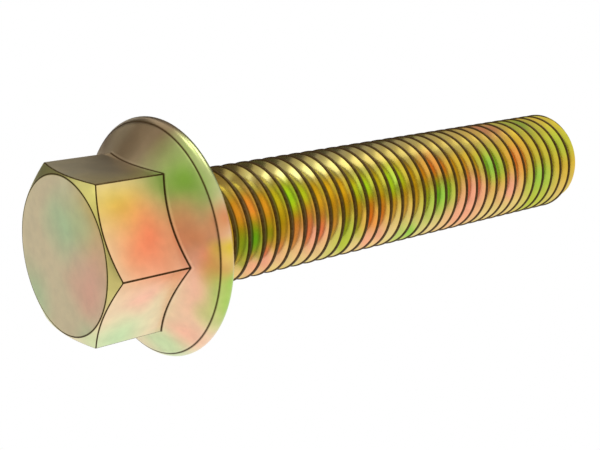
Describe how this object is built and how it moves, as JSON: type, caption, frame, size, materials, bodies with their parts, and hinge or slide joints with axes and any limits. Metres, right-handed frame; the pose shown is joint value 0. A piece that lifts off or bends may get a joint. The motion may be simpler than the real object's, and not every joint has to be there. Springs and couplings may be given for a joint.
{
  "type": "flange bolt",
  "caption": "Hexagon flange bolt with chamfered corners, a round flange with a coned top and a rounded rim, and a right-hand metric thread along the whole shank.",
  "frame": {"origin": "centre of the seating face under the flange, on the bolt's axis", "axes": "+Z along the axis from the head to the tip, +X through a corner of the hexagon; the bolt stands on the flat top of its head"},
  "size_m": [0.0196, 0.0196, 0.0593],
  "materials": {
    "yellow_zinc_steel": "yellow passivated zinc, satin, with rainbow tints"
  },
  "bodies": {
    "root": {"flange_bolt": "yellow_zinc_steel"}
  },
  "joints": []
}
